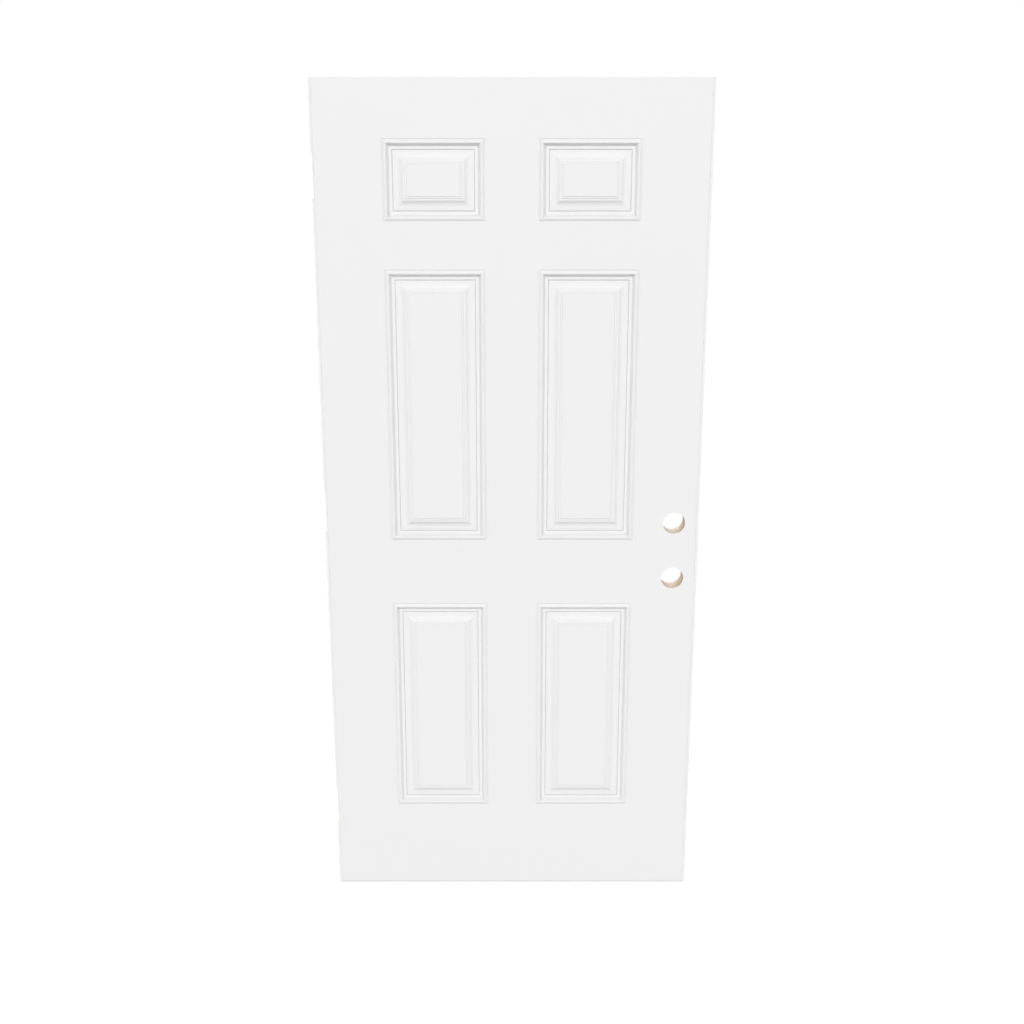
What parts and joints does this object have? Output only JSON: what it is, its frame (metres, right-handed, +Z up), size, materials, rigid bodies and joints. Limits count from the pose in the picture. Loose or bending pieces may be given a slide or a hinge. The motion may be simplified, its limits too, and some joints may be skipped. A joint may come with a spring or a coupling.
{
  "type": "panelled entrance door leaf",
  "caption": "White pressed-steel entrance door leaf with embossed raised panels and wood edges, bored for a lock and deadbolt and gained for hinges to hang in a frame.",
  "frame": {"origin": "centre of the bottom edge, midway between the two faces", "axes": "+X from the hinge edge to the lock edge, +Y from the front face to the back face, +Z up the leaf"},
  "size_m": [0.908, 0.0494, 2.0066],
  "materials": {
    "white_steel": "satin",
    "primed_wood": "primed",
    "bare_wood": "bare",
    "foam": "matte"
  },
  "bodies": {
    "root": {"front_skin": "white_steel", "back_skin": "white_steel", "hinge_stile": "primed_wood", "lock_stile": "primed_wood", "lock_block": "bare_wood", "top_rail": "bare_wood", "bottom_rail": "bare_wood", "foam_core": "foam"}
  },
  "joints": []
}
